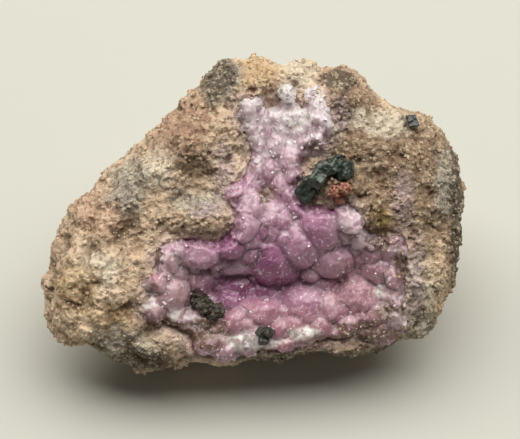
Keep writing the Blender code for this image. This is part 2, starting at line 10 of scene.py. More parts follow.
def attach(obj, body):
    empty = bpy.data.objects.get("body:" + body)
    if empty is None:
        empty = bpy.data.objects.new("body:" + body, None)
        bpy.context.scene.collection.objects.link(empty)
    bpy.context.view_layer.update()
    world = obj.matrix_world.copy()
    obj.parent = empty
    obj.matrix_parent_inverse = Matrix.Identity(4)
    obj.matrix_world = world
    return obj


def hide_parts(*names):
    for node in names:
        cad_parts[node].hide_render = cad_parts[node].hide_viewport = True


# Looks of a hand specimen of spherocobaltite: brown host rock with a crust of pink-violet crystals.
# Places are given in millimetres on the crystal face: x to the right, y up the face, from its middle.

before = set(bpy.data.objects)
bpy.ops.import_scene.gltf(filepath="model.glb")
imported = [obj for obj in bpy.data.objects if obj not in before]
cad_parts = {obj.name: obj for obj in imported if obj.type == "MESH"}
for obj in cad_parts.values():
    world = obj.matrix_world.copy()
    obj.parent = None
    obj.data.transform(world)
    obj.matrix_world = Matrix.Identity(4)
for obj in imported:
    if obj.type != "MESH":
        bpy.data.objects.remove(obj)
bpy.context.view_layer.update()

MM = 0.001
LEAN = math.radians(35.0)
FACE = Matrix.Translation((0.00028, -0.0002955, 0.0150)) @ Matrix.Rotation(LEAN, 4, "X")
WORLD_TO_FACE = FACE.inverted()
OUT = (FACE.to_3x3() @ Vector((0, 0, 1))).normalized()
UP = (FACE.to_3x3() @ Vector((0, 1, 0))).normalized()

# How fine each piece's skin is made
STONE_VOXEL = 0.425 * MM
BED_VOXEL = 0.31 * MM
CRUST_VOXEL = 0.168 * MM

# Heights from the crystal face's middle, in millimetres: points above the first belong to the face, stains
# end at the second, and the crust's bed ends at the third
FACE_HEIGHT = -3.5
FACE_END = -4.0
BED_FLOOR = -8.0

# How edges wander: the size in millimetres, the seed and the share of each layer of noise
ROCK_EDGES = [(2.2, 1, 0.35), (0.9, 2, 0.25)]
CRUST_EDGES = [(1.6, 3, 0.5), (0.6, 4, 0.3)]
MARK_EDGES = [(1.2, 5, 0.4), (0.5, 6, 0.3)]
CRUMB_EDGES = [(1.3, 8, 0.9)]

# The rock beside and under the crust, in millimetres inside the crust's outline
FAR_OUTSIDE = -10.0
CRUST_HIDES = 1.0
ROCK_FADES = (0.3, 1.1)
RIM_RISES = (-0.7, 0.2)
RIM_FALLS = (0.4, 1.1)
RIM_SWELL = 0.60
LILAC_FADES = (-1.6, 0.2)
LILAC_SHARE = 0.8
BASE_STAYS_FLAT = (0.15, 1.2)

# The rock's relief, coarse before fine: the pattern, its size and its strength in millimetres, the level that
# stays in place, and the group of points that has it
ROCK_RELIEF = [
    ("lumps", "VORONOI", 2.4, -1.15, 0.2, "knobs", {"distance_metric": "DISTANCE_SQUARED"}),
    ("small lumps", "VORONOI", 1.2, -0.35, 0.25, "bare", {"distance_metric": "DISTANCE_SQUARED"}),
    ("ledges", "CLOUDS", 2.2, 0.4, 0.45, "bare", {"noise_depth": 3, "noise_type": "HARD_NOISE"}),
    ("grit", "CLOUDS", 0.42, 0.55, 0.5, "bare", {"noise_depth": 2}),
    ("crumbs", "VORONOI", 0.5, -0.14, 0.3, "gritty", {"distance_metric": "MANHATTAN"}),
]
PORE_SPACING = 1.0
PORE_EDGE = (0.66, 0.74)
PORE_DEPTH = 0.25

# Loose pieces: how many, the usual, least and most half width in millimetres, and how much they lean
Loose = namedtuple("Loose", "count girth least most lean")
GRIT = Loose(9000, 0.15, 0.08, 0.50, 0.35)
CRUMBS = Loose(650, 0.14, 0.07, 0.40, 0.40)
DRUSE = Loose(800, 0.12, 0.06, 0.35, 0.35)
GIRTH_SPREAD = 0.40
GRAIN_WIDTHS = (0.7, 1.1)
RHOMB_LENGTHS = (0.7, 1.6)
FULL_TURN = 6.28
GRIT_BOTTOM = 0.8
GRIT_STANDS = (-0.45, 0.1)
CRUMBS_FADE = (-0.4, 1.1)
DRUSE_NECK = (1.0, 8.0)
DRUSE_SUNK = 0.45

# The bed under the crystals, and the crystals that fill the room between the named ones, in millimetres
BED_SMOOTHING = 60
BED_THICKNESS = 1.45 * MM
FRONT_LIP = (-12.0, -14.5)
FILL_TRIES = 4200
FILL_SIZES = (0.8, 1.7)
FILL_SPACING = 0.52
FILL_LOWEST = -15.3
FILL_SHAPES = {"dome": 0.7, "rhomb": 0.12, "plate": 0.18}
NECK_START = 3.0
NECK_GIRTH = 0.55
NECK_LENGTH = 1.5
GROWS_OUT = 0.5
GROWS_UP = 0.25
NAMED_LEAN = 0.10
FILL_LEAN = 0.18

# The crust's skin: how its edge sinks into the rock, where seams and grooves are and how they wander, and
# where it is drusy or frosted. Distances from a crystal are in its own reach, and the rest in millimetres.
EDGE_SINKS = (-0.4, 1.5)
EDGE_SUNK = 1.20
BEND_SIZE = 0.9
BEND_SEEDS = (11, 12, 13)
BEND_REACH = 0.30
TONE_FALLOFF = 2.6
OWN_TONE = 0.4
# The seams take painted shade, which like the grooves is strongest on the crystals' lower edges, where they
# face down
LOWER_EDGE = (-0.15, 0.35)
SEAMS_FADE = (1.05, 1.4)
SEAM_EDGE = (0.01, 0.10)
GROOVE_EDGE = (0.0, 0.16)
GROOVE_DEPTH = 0.13
NECK_FOOT = (2.0, 6.0)
FROST_RISES = (3.0, 11.0)
BETWEEN_CRYSTALS = (1.02, 1.25)
DRUSY_EDGE = (0.2, 1.6)
STEP_DEPTH = 0.22

# Camera: its elevation in degrees, the width that it sees, and how far its aim is right of and below the
# crystal face's middle
ELEVATION = 55
SEEN_WIDTH = 61.8 * MM
AIM_RIGHT = 0.47577 * MM
AIM_DOWN = 0.535 * MM

# Stains of the rock by kind, and painted shade along the face's lower lip: the place on the face and the half
# width and half height of each
STAINS = {
    "brown": [
        (17.0, 4.0, 8.5, 8.5), (11.5, 9.0, 4.6, 6.5), (23.4, -2.0, 1.8, 6.0), (-8.0, 7.5, 3.0, 4.0),
    ],
    "grey": [
        (-3.9, 15.9, 2.3, 3.0), (-14.6, 3.6, 2.6, 3.6), (-15.4, -15.6, 4.6, 2.8), (22.0, 3.5, 1.6, 4.0),
        (19.6, -13.5, 2.0, 2.5), (-6.5, 1.5, 3.0, 1.6),
    ],
    "ochre": [
        (0.3, 16.0, 3.0, 2.4), (-16.0, -12.2, 2.4, 1.6), (13.8, -0.8, 2.6, 1.6), (-20.5, -8.0, 3.0, 3.0),
    ],
    "rust": [
        (-18.0, 0.5, 4.0, 3.5), (-9.0, 10.5, 4.5, 3.5), (10.0, 15.2, 2.8, 2.6), (6.8, 7.9, 1.4, 0.8),
        (2.0, -16.0, 11.0, 1.2),
    ],
    "pale": [
        (18.4, -10.5, 2.4, 6.0), (14.5, 10.8, 4.0, 1.6), (4.8, 16.4, 2.4, 2.2), (-18.5, -6.5, 3.0, 3.0),
        (-11.5, 5.5, 2.6, 2.4),
    ],
    # Dark spots near the top and a dark band down the right edge, and painted shade in the bands along the
    # lower lip
    "dark": [
        (-4.4, 15.4, 1.9, 2.8), (-3.6, 16.8, 1.2, 2.4), (9.8, 15.3, 2.2, 2.0), (-12.6, -17.0, 3.4, 1.5),
        (5.5, -16.6, 12.0, 0.8), (17.5, -16.0, 4.0, 1.4), (23.5, 0.0, 0.9, 9.0),
    ],
    "olive": [
        (13.4, -1.2, 2.4, 1.2), (12.4, -2.0, 1.2, 0.8),
    ],
    "lilac": [
        (-3.6, 5.0, 1.6, 3.4), (-5.4, 0.6, 2.4, 1.0), (16.8, 1.4, 1.3, 3.2), (18.4, -7.0, 1.2, 5.0),
        (2.0, -16.4, 9.0, 0.8), (9.8, 11.6, 1.0, 2.4),
    ],
}
STAIN_FADES = (0.55, 1.35)

# How much of each kind of stain the crumbs on the crust may have, and where the rock is knobby
CRUMB_STAINS = [1.0, 1.0, 0.0, 1.0, 0.3, 0.9, 0.1, 1.0]
KNOBBY_PLACES = [(-18.5, -7.0, 8.0, 9.0), (-12.0, -15.5, 6.0, 3.5)]

# Crystals of the crust that can be told apart: half sizes, how far each stands out, its turn, its shape,
# how deep its violet is and how white it is, both from 0 to 1
Crystal = namedtuple("Crystal", "x y wide tall lift turn shape deep white")
CRYSTALS = [Crystal(*row) for row in [
    (9.2, -5.2, 2.5, 2.0, 0.3, 8, "dome", 0.38, 0.05),
    (7.8, -7.8, 1.7, 1.3, 0.1, -5, "dome", 0.42, 0.05),
    (2.4, -5.4, 3.0, 2.9, -0.2, 20, "dome", 1.0, 0.0),
    (5.4, -3.0, 2.3, 2.5, 0.0, -20, "dome", 0.62, 0.12),
    (7.7, -1.4, 2.3, 2.3, 0.4, 5, "dome", 0.72, 0.05),
    (10.8, -0.4, 1.7, 1.7, 0.3, 30, "plate", 0.15, 0.35),
    (5.5, -10.2, 2.4, 2.4, 0.4, 0, "dome", 0.5, 0.05),
    (8.4, -10.5, 1.4, 1.8, 0.3, 12, "dome", 0.4, 0.08),
    (11.7, -9.2, 2.5, 2.4, 0.5, 10, "dome", 0.42, 0.08),
    (14.3, -6.1, 2.4, 2.0, 0.3, -12, "dome", 0.5, 0.12),
    (15.8, -3.9, 1.5, 1.3, 0.2, 20, "rhomb", 0.3, 0.25),
    (13.8, -11.2, 1.5, 1.5, 0.3, 40, "dome", 0.42, 0.1),
    (10.7, -12.6, 1.5, 1.3, 0.1, 15, "dome", 0.5, 0.05),
    (7.6, -13.0, 1.5, 1.3, 0.1, 55, "dome", 0.52, 0.05),
    (-1.3, 1.2, 2.0, 2.3, 0.7, 24, "plate", 0.30, 0.15),
    (1.3, -0.1, 1.5, 1.9, 0.8, -28, "plate", 0.32, 0.15),
    (-0.7, -2.4, 1.3, 1.3, 0.3, 8, "dome", 0.62, 0.1),
    (-2.9, -3.3, 1.3, 1.5, 0.1, 35, "dome", 0.9, 0.05),
    (3.2, -0.5, 1.3, 1.5, 0.1, -10, "dome", 0.48, 0.05),
    (-2.6, -5.9, 2.3, 1.2, 0.2, 0, "plate", 0.8, 0.35),
    (-2.1, -8.3, 2.6, 1.3, 0.0, 10, "dome", 1.0, 0.0),
    (1.0, -8.9, 1.7, 1.1, 0.0, -10, "dome", 0.95, 0.0),
    (-6.3, -4.2, 2.4, 1.9, 0.4, 14, "plate", 0.45, 0.12),
    (-6.4, -7.4, 1.8, 1.8, 0.3, -6, "dome", 0.38, 0.05),
    (-10.0, -5.1, 1.5, 1.7, 0.3, 22, "rhomb", 0.15, 0.35),
    (-11.7, -7.6, 1.4, 1.4, 0.3, 44, "rhomb", 0.25, 0.22),
    (-9.9, -8.8, 2.1, 1.8, 0.8, 34, "dome", 0.3, 0.22),
    (-11.7, -11.3, 1.4, 1.2, 0.3, 10, "rhomb", 0.32, 0.1),
    (-13.2, -10.6, 0.7, 0.7, 0.3, 30, "rhomb", 0.05, 0.85),
    (-9.4, -11.5, 1.1, 1.5, 0.3, -20, "plate", 0.2, 0.55),
    (0.7, -11.2, 2.3, 1.7, 0.2, 10, "dome", 0.6, 0.05),
    (-2.1, -12.0, 1.5, 1.3, 0.1, 40, "dome", 0.62, 0.05),
    (3.0, -13.1, 1.7, 1.2, 0.1, 18, "dome", 0.62, 0.05),
    (-5.2, -14.9, 1.8, 1.2, 0.2, 12, "dome", 0.4, 0.15),
    (-7.6, -16.1, 1.4, 1.0, 0.2, 30, "dome", 0.38, 0.15),
    (-3.8, -15.9, 1.5, 1.1, 0.2, -8, "dome", 0.38, 0.1),
    (13.7, -13.7, 1.4, 1.0, 0.1, 5, "rhomb", 0.4, 0.05),
    (16.2, -11.8, 1.4, 1.5, 0.2, 25, "rhomb", 0.12, 0.45),
    (17.1, -8.9, 1.1, 1.4, 0.2, -15, "rhomb", 0.15, 0.4),
    (16.3, -7.1, 1.2, 1.2, 0.2, 5, "dome", 0.4, 0.2),
    (7.3, 11.8, 1.2, 1.8, 0.7, 8, "plate", 0.1, 0.4),
    (7.6, 9.6, 1.1, 1.1, 0.2, 30, "rhomb", 0.4, 0.15),
    (-0.4, 11.5, 1.1, 1.5, 0.2, -14, "rhomb", 0.25, 0.3),
    (3.6, 14.0, 1.0, 1.2, 0.5, 20, "rhomb", 0.02, 0.95),
    (4.3, 11.1, 1.7, 1.1, 0.5, 12, "plate", 0.05, 0.85),
    (2.4, 8.3, 1.7, 1.5, 0.3, 25, "dome", 0.3, 0.12),
    (4.3, 6.5, 1.4, 1.5, 0.2, -12, "dome", 0.33, 0.12),
    (1.4, 5.4, 1.4, 1.4, 0.2, 40, "dome", 0.38, 0.1),
    (3.3, 3.4, 1.5, 1.4, 0.2, 10, "dome", 0.42, 0.08),
    (5.2, 1.0, 1.3, 1.1, 0.1, 30, "dome", 0.45, 0.08),
    (5.7, 8.0, 1.0, 1.4, 0.2, -8, "rhomb", 0.2, 0.3),
    (-1.2, 6.5, 1.0, 1.1, 0.2, 12, "rhomb", 0.25, 0.3),
]]

# How each habit's crystal is stretched over its visible half sizes, how thick it is, how much is sunk, and
# how far its faces are from its middle
Habit = namedtuple("Habit", "stretch thick sunk reach")
HABITS = {
    "dome": Habit(1.26, 1.02, 0.53, 0.97),
    "rhomb": Habit(1.16, 0.66, 0.38, 0.90),
    "plate": Habit(1.14, 0.60, 0.40, 0.80),
}

# Growth faces that flatten each master crystal: turn and tilt in degrees, and distance from its middle
DOME_FACES = [
    [(10, 14, 0.95), (130, 24, 0.92), (250, 20, 0.94), (70, 42, 0.90), (190, 46, 0.91), (310, 40, 0.89)],
    [(40, 10, 0.93), (160, 30, 0.94), (275, 26, 0.90), (100, 48, 0.92), (220, 38, 0.90), (340, 44, 0.92)],
    [(80, 18, 0.94), (200, 16, 0.93), (320, 34, 0.91), (20, 46, 0.93), (140, 44, 0.89), (260, 50, 0.92)],
]
PLATE_FACES = [
    [(0, 4, 0.62), (30, 62, 0.84), (95, 66, 0.80), (170, 60, 0.86), (235, 66, 0.78), (300, 62, 0.84)],
    [(120, 9, 0.66), (10, 58, 0.82), (80, 66, 0.84), (150, 62, 0.80), (215, 60, 0.84), (290, 68, 0.80)],
]

# The crust's outline on the face
CRUST_OUTLINE = [
    (-1.9, 13.2), (0.2, 13.7), (0.7, 12.2), (2.4, 13.2), (3.0, 14.5), (4.2, 14.6), (4.8, 13.2), (5.8, 12.2),
    (6.7, 13.8), (7.6, 13.9), (8.1, 12.2), (8.9, 11.1), (9.0, 9.6), (8.3, 7.7), (7.8, 6.8), (6.2, 7.5),
    (5.5, 6.5), (5.6, 4.6), (4.9, 3.2), (5.7, 1.2), (8.8, 1.0), (10.6, 1.4), (11.9, 0.6), (12.6, -1.1),
    (13.6, -2.5), (15.2, -2.4), (16.0, -1.9), (16.8, -2.4), (17.4, -3.9), (17.1, -5.6), (17.1, -7.5),
    (17.4, -9.2), (17.0, -11.5), (16.6, -13.2), (15.2, -14.6), (13.8, -15.5), (11.2, -14.6), (9.4, -14.9),
    (7.4, -15.2), (5.2, -15.7), (2.9, -16.8), (1.0, -16.1), (-1.2, -16.3), (-2.9, -17.0), (-5.2, -17.1),
    (-6.9, -16.8), (-8.1, -16.1), (-8.3, -14.6), (-9.3, -13.9), (-10.2, -13.0), (-12.6, -12.0),
    (-13.4, -11.1), (-13.1, -10.1), (-12.1, -8.9), (-12.4, -7.5), (-11.7, -6.1), (-11.8, -4.6),
    (-11.1, -3.4), (-10.0, -2.7), (-7.1, -2.5), (-4.8, -3.0), (-2.4, -2.0), (-2.6, -0.1), (-2.9, 1.1),
    (-3.6, 1.6), (-3.8, 2.6), (-3.0, 3.4), (-1.9, 4.2), (-0.7, 6.5), (-1.0, 8.2), (-1.7, 9.9), (-2.4, 11.5),
]

# Marks on the crust: white calcite, brown earth in the seams, and where the violet turns pink
MARKS = {
    "calcite": [
        (3.8, 14.3, 1.2, 1.2), (4.6, 11.0, 2.0, 1.1), (7.6, 13.4, 0.8, 1.4), (-0.5, -14.7, 3.2, 1.1),
        (5.6, -13.7, 1.8, 0.8), (-13.2, -10.6, 1.0, 0.6), (-9.4, -11.7, 0.7, 1.0), (14.3, -9.0, 0.7, 0.8),
    ],
    "earth": [
        (9.5, -14.6, 3.6, 1.0), (13.0, -13.8, 3.4, 1.9), (10.5, -12.9, 1.6, 0.6), (-5.9, -13.6, 2.6, 2.0),
        (-9.8, -12.9, 2.2, 1.3), (15.0, -11.2, 1.4, 1.2), (14.6, -3.2, 2.4, 1.0), (16.6, -5.6, 1.0, 2.0),
        (-11.5, -4.5, 1.0, 1.6), (-8.3, -14.2, 2.0, 1.6), (6.7, 7.7, 1.1, 0.6), (1.4, 2.4, 1.0, 1.0),
    ],
    "pink": [
        (13.0, -9.0, 5.0, 5.0), (-10.5, -9.5, 4.0, 4.0), (2.0, -13.5, 10.0, 3.2),
    ],
}


def srgb(hex_colour):
    """A colour written as sRGB hex, in the linear values that materials take."""
    channels = [int(hex_colour[i:i + 2], 16) / 255 for i in (0, 2, 4)]
    return [c / 12.92 if c <= 0.04045 else ((c + 0.055) / 1.055) ** 2.4 for c in channels] + [1.0]


def enter(mode):
    bpy.ops.object.mode_set(mode=mode)


def link(obj):
    bpy.context.scene.collection.objects.link(obj)


def deselect():
    if bpy.context.object and bpy.context.object.mode != "OBJECT":
        enter("OBJECT")
    bpy.ops.object.select_all(action="DESELECT")


def pick(obj):
    deselect()
    obj.select_set(True)
    bpy.context.view_layer.objects.active = obj
    return obj


def finish_with(obj, kind, **settings):
    """Adds a modifier with its settings and applies it."""
    pick(obj)
    modifier = obj.modifiers.new(kind.title(), kind)
    for name, value in settings.items():
        setattr(modifier, name, value)
    bpy.ops.object.modifier_apply(modifier=modifier.name)


def welded_copy(node, name):
    """A CAD node's solid as a welded mesh of its own."""
    obj = bpy.data.objects.new(name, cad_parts[node].data.copy())
    link(obj)
    obj.data.materials.clear()
    pick(obj)
    enter("EDIT")
    bpy.ops.mesh.select_all(action="SELECT")
    bpy.ops.mesh.remove_doubles(threshold=1e-6)
    enter("OBJECT")
    return obj


def select_faces(obj, chosen):
    """Selects these faces alone, and stays in edit mode."""
    pick(obj)
    enter("EDIT")
    bpy.ops.mesh.select_mode(type="FACE")
    bpy.ops.mesh.select_all(action="DESELECT")
    enter("OBJECT")
    obj.data.polygons.foreach_set("select", chosen)
    enter("EDIT")


def smooth_shaded(obj):
    pick(obj)
    bpy.ops.object.shade_smooth()
    return obj


def joined(pieces, name):
    deselect()
    for piece in pieces:
        piece.select_set(True)
    bpy.context.view_layer.objects.active = pieces[0]
    bpy.ops.object.join()
    pieces[0].name = name
    pieces[0].data.name = name
    return pieces[0]


def read(parts, name):
    """A place or a way for every vertex or face of a mesh."""
    flat = np.empty(len(parts) * 3)
    parts.foreach_get(name, flat)
    return flat.reshape(-1, 3)


def points_of(obj):
    return read(obj.data.vertices, "co")


def normals_of(obj):
    return read(obj.data.vertices, "normal")


def put_points(obj, points):
    obj.data.vertices.foreach_set("co", np.ascontiguousarray(points).ravel())
    obj.data.update()


def on_face(points):
    """World points as millimetres on the crystal face: x right, y up, z out."""
    turn = np.array(WORLD_TO_FACE.to_3x3())
    return (points @ turn.T + np.array(WORLD_TO_FACE.translation)) / MM


def smooth_step(value, low, high):
    t = np.clip((value - low) / (high - low), 0.0, 1.0)
    return t * t * (3 - 2 * t)


def keep_attribute(obj, name, values):
    attribute = obj.data.attributes.new(name, "FLOAT", "POINT")
    attribute.data.foreach_set("value", np.asarray(values, np.float32))


def held(obj, name):
    """The values of a kept attribute."""
    values = np.empty(len(obj.data.vertices), np.float32)
    obj.data.attributes[name].data.foreach_get("value", values)
    return values.astype(float)


def weigh(obj, name, weights, steps=24):
    """A vertex group from a list of weights, in a few even steps."""
    group = obj.vertex_groups.new(name=name)
    levels = np.round(np.clip(weights, 0, 1) * steps).astype(int)
    for level in range(1, steps + 1):
        chosen = np.nonzero(levels == level)[0]
        if len(chosen):
            group.add(chosen.tolist(), level / steps, "REPLACE")


def wander(points, size, seed):
    """Smooth noise from -1 to 1 at each face point, for the ragged edges of stains."""
    shift = Vector((seed * 13.7, seed * 5.1, seed * 9.3))
    return np.array([noise.noise(Vector(p) / size + shift) for p in points])


def raggedness(points, layers):
    """Layers of noise laid together, to make an edge ragged."""
    return sum(wander(points, size, seed) * share for size, seed, share in layers)


def spread(points, stains, ragged):
    """How strongly each point lies in any of the stains, from 0 to 1."""
    strongest = np.zeros(len(points))
    for x, y, wide, tall in stains:
        reach = np.hypot((points[:, 0] - x) / wide, (points[:, 1] - y) / tall) + ragged
        strongest = np.maximum(strongest, 1 - smooth_step(reach, *STAIN_FADES))
    return strongest


def depth_inside(places, outline):
    """How far each place lies inside a closed outline; places outside it are negative."""
    corners = np.array(outline)
    nearest = np.full(len(places), np.inf)
    inside = np.zeros(len(places), bool)
    for a, b in zip(corners, np.roll(corners, -1, axis=0)):
        side = b - a
        along = np.clip(((places - a) @ side) / (side @ side), 0, 1)
        nearest = np.minimum(nearest, np.linalg.norm(places - a - along[:, None] * side, axis=1))
        crosses = (a[1] > places[:, 1]) != (b[1] > places[:, 1])
        at = a[0] + (places[:, 1] - a[1]) * side[0] / (side[1] or 1e-9)
        inside ^= crosses & (places[:, 0] < at)
    return np.where(inside, nearest, -nearest)


def pattern(name, kind, size, **settings):
    texture = bpy.data.textures.new(name, kind)
    texture.noise_scale = size * MM
    for setting, value in settings.items():
        setattr(texture, setting, value)
    return texture


class Ground:
    """Finds the surface under a place on the face, and the way out of it."""

    def __init__(self, obj):
        points = points_of(obj)
        faces = [tuple(p.vertices) for p in obj.data.polygons]
        self.tree = BVHTree.FromPolygons([Vector(p) for p in points], faces)

    def under(self, x, y):
        start = FACE @ Vector((x * MM, y * MM, 30 * MM))
        place, normal, _, _ = self.tree.ray_cast(start, -OUT)
        return place, normal

    def way_out(self, x, y, reach=0.9):
        """The slope averaged over a patch about as wide as a crystal."""
        ways = [self.under(x + dx * reach, y + dy * reach)[1] for dx in (-1, 0, 1) for dy in (-1, 0, 1)]
        return sum((way for way in ways if way), Vector()).normalized()


# The host rock

def split_face(stone):
    """Halves the mesh of the crystal face outside the crust, which is where the finest grit shows."""
    places = on_face(read(stone.data.polygons, "center"))
    hidden = depth_inside(places[:, :2], CRUST_OUTLINE) >= CRUST_HIDES
    select_faces(stone, (places[:, 2] > FACE_HEIGHT) & ~hidden)
    bpy.ops.mesh.subdivide(number_cuts=1, smoothness=0.0)
    enter("OBJECT")


def roughen(stone):
    """Gives the rock's groups of points their relief, and its pores last."""
    for name, kind, size, strength, middle, group, settings in ROCK_RELIEF:
        finish_with(
            stone, "DISPLACE", texture=pattern(name, kind, size, **settings),
            strength=strength * MM, mid_level=middle, vertex_group=group,
        )
    pores = pattern("pores", "CLOUDS", PORE_SPACING, noise_depth=1)
    pores.use_color_ramp = True
    for level, position in enumerate(PORE_EDGE):
        pores.color_ramp.elements[level].position = position
        pores.color_ramp.elements[level].color = (level, level, level, 1)
    finish_with(
        stone, "DISPLACE", texture=pores, strength=-PORE_DEPTH * MM, mid_level=0.0, vertex_group="gritty"
    )


def make_stone():
    """The rock's skin: the CAD solid with lumps, grit, creases and pores of the real, crumbly rock."""
    stone = welded_copy("matrix", "host_rock")
    finish_with(stone, "REMESH", mode="VOXEL", voxel_size=STONE_VOXEL)
    finish_with(stone, "SMOOTH", factor=0.5, iterations=3)
    split_face(stone)
    before, out = points_of(stone), normals_of(stone)
    places = on_face(before)
    ragged = raggedness(places, ROCK_EDGES)
    cover = depth_inside(places[:, :2], CRUST_OUTLINE) + ragged * 0.8
    cover[places[:, 2] < FACE_END] = FAR_OUTSIDE
    bare = 1 - smooth_step(cover, *ROCK_FADES)
    rim = smooth_step(cover, *RIM_RISES) * (1 - smooth_step(cover, *RIM_FALLS))
    put_points(stone, before + np.outer(rim * (RIM_SWELL + ragged * 0.5) * MM, OUT))
    rough = bare * smooth_step(before[:, 2] / MM, *BASE_STAYS_FLAT)
    knobs = spread(places, KNOBBY_PLACES, ragged)
    weigh(stone, "bare", rough)
    weigh(stone, "knobs", rough * (0.25 + 0.75 * knobs))
    weigh(stone, "gritty", rough * (1 - 0.6 * knobs))
    roughen(stone)
    after = points_of(stone)
    after[:, 2] = np.maximum(after[:, 2], 0.0)
    put_points(stone, after)
    # The material paints shade where the relief sank the skin and light where it raised it
    keep_attribute(stone, "height", ((after - before) * out).sum(1) / MM)
    front = smooth_step(places[:, 2], FACE_END, 0.0)
    near_crust = smooth_step(cover, *LILAC_FADES) * LILAC_SHARE
    for kind, stains in STAINS.items():
        stained = spread(places, stains, ragged)
        keep_attribute(stone, kind, np.maximum(stained, near_crust * (kind == "lilac")) * front)
    keep_attribute(stone, "grain", np.full(len(after), 0.5))
    keep_attribute(stone, "bare_rock", bare)
    stone.vertex_groups.clear()
    return smooth_shaded(stone)


# Loose grains, crumbs and rhombs

def grain_masters():
    """Four angular grains of broken rock that reach one unit, to be scaled to their half sizes."""
    made = []
    for seed in range(4):
        deselect()
        bpy.ops.mesh.primitive_ico_sphere_add(subdivisions=1, radius=1.0)
        grain = bpy.context.object
        enter("EDIT")
        bpy.ops.transform.vertex_random(offset=0.28, seed=seed + 3)
        bpy.ops.transform.resize(value=(1.0, 0.8 + 0.1 * seed, 0.75))
        enter("OBJECT")
        made.append(grain)
    return made


def girths(loose, rng):
    """Half widths in millimetres, mostly small with a few large ones, as broken grains are."""
    return np.clip(rng.lognormal(math.log(loose.girth), GIRTH_SPREAD, loose.count), loose.least, loose.most)


def grain_sizes(loose, rng):
    """The girths of grains, and their half sizes all three ways."""
    girth = girths(loose, rng)
    return girth, np.column_stack([girth, girth * rng.uniform(*GRAIN_WIDTHS, loose.count), girth * 0.9]) * MM


def stances(ways, masters, loose, rng):
    """Each loose piece's way out with its lean, its spin, and which master it is a copy of."""
    tilted = ways + rng.normal(0, loose.lean, (loose.count, 3))
    return tilted, rng.uniform(0, FULL_TURN, loose.count), rng.integers(0, len(masters), loose.count)


def scatter(masters, name, places, sizes, stance):
    """Copies of the masters at the given places, each stood on its way out and spun, in one mesh."""
    shapes = [(points_of(m), np.array([p.vertices[:] for p in m.data.polygons])) for m in masters]
    points, faces, owners, start = [], [], [], 0
    for i, (place, size, way, spin, master) in enumerate(zip(places, sizes, *stance)):
        shape, sides = shapes[master]
        stand = Vector((0, 0, 1)).rotation_difference(Vector(way)).to_matrix() @ Matrix.Rotation(spin, 3, "Z")
        points.append((shape * size) @ np.array(stand).T + place)
        faces.append(sides + start)
        owners.append(np.full(len(shape), i))
        start += len(shape)
    mesh = bpy.data.meshes.new(name)
    mesh.from_pydata(np.concatenate(points), [], np.concatenate(faces).tolist())
    obj = bpy.data.objects.new(name, mesh)
    link(obj)
    for master in masters:
        bpy.data.objects.remove(master)
    return obj, np.concatenate(owners)


def make_grit(stone, rng):
    """Loose grains that stick out of the rock's skin, closest together behind the crystal face."""
    masters = grain_masters()
    points, ways = points_of(stone), normals_of(stone)
    front = on_face(points)[:, 2] > FACE_HEIGHT
    odds = (held(stone, "bare_rock") > 0.9) * (points[:, 2] > GRIT_BOTTOM * MM) * np.where(front, 1.0, 2.0)
    chosen = rng.choice(len(points), GRIT.count, replace=False, p=odds / odds.sum())
    girth, sizes = grain_sizes(GRIT, rng)
    places = points[chosen] + ways[chosen] * (girth * rng.uniform(*GRIT_STANDS, GRIT.count) * MM)[:, None]
    grit, owners = scatter(masters, "rock_grit", places, sizes, stances(ways[chosen], masters, GRIT, rng))
    for kind in STAINS:
        keep_attribute(grit, kind, held(stone, kind)[chosen][owners])
    # A random height, which the material paints as light on the grains, more on some than others
    keep_attribute(grit, "height", rng.uniform(0.0, 0.5, GRIT.count)[owners])
    keep_attribute(grit, "grain", rng.uniform(0, 1, GRIT.count)[owners])
    return grit


def make_crumbs(crust, rng):
    """Earthy crumbs of the rock that lie on the crust, thickest along its edge and in the stained places."""
    masters = grain_masters()
    points, ways = points_of(crust), normals_of(crust)
    places = on_face(points)
    depth = depth_inside(places[:, :2], CRUST_OUTLINE) + raggedness(places, CRUMB_EDGES)
    odds = np.clip(held(crust, "earth") * 1.4 + (1 - smooth_step(depth, *CRUMBS_FADE)) * 0.9, 0, 1)
    odds *= (ways @ np.array(OUT) > 0.15)
    chosen = rng.choice(len(points), CRUMBS.count, replace=False, p=odds ** 2 / (odds ** 2).sum())
    _, sizes = grain_sizes(CRUMBS, rng)
    stance = stances(ways[chosen], masters, CRUMBS, rng)
    crumbs, owners = scatter(masters, "earthy_crumbs", points[chosen], sizes, stance)
    mix = rng.uniform(0, 1, (CRUMBS.count, len(STAINS))) ** 2 * CRUMB_STAINS
    for kind, share in zip(STAINS, mix.T):
        keep_attribute(crumbs, kind, share[owners])
    # A random height, which the material paints as shade on some crumbs and light on others
    keep_attribute(crumbs, "height", rng.uniform(-0.3, 0.3, CRUMBS.count)[owners])
    keep_attribute(crumbs, "grain", rng.uniform(0, 1, CRUMBS.count)[owners])
    return crumbs


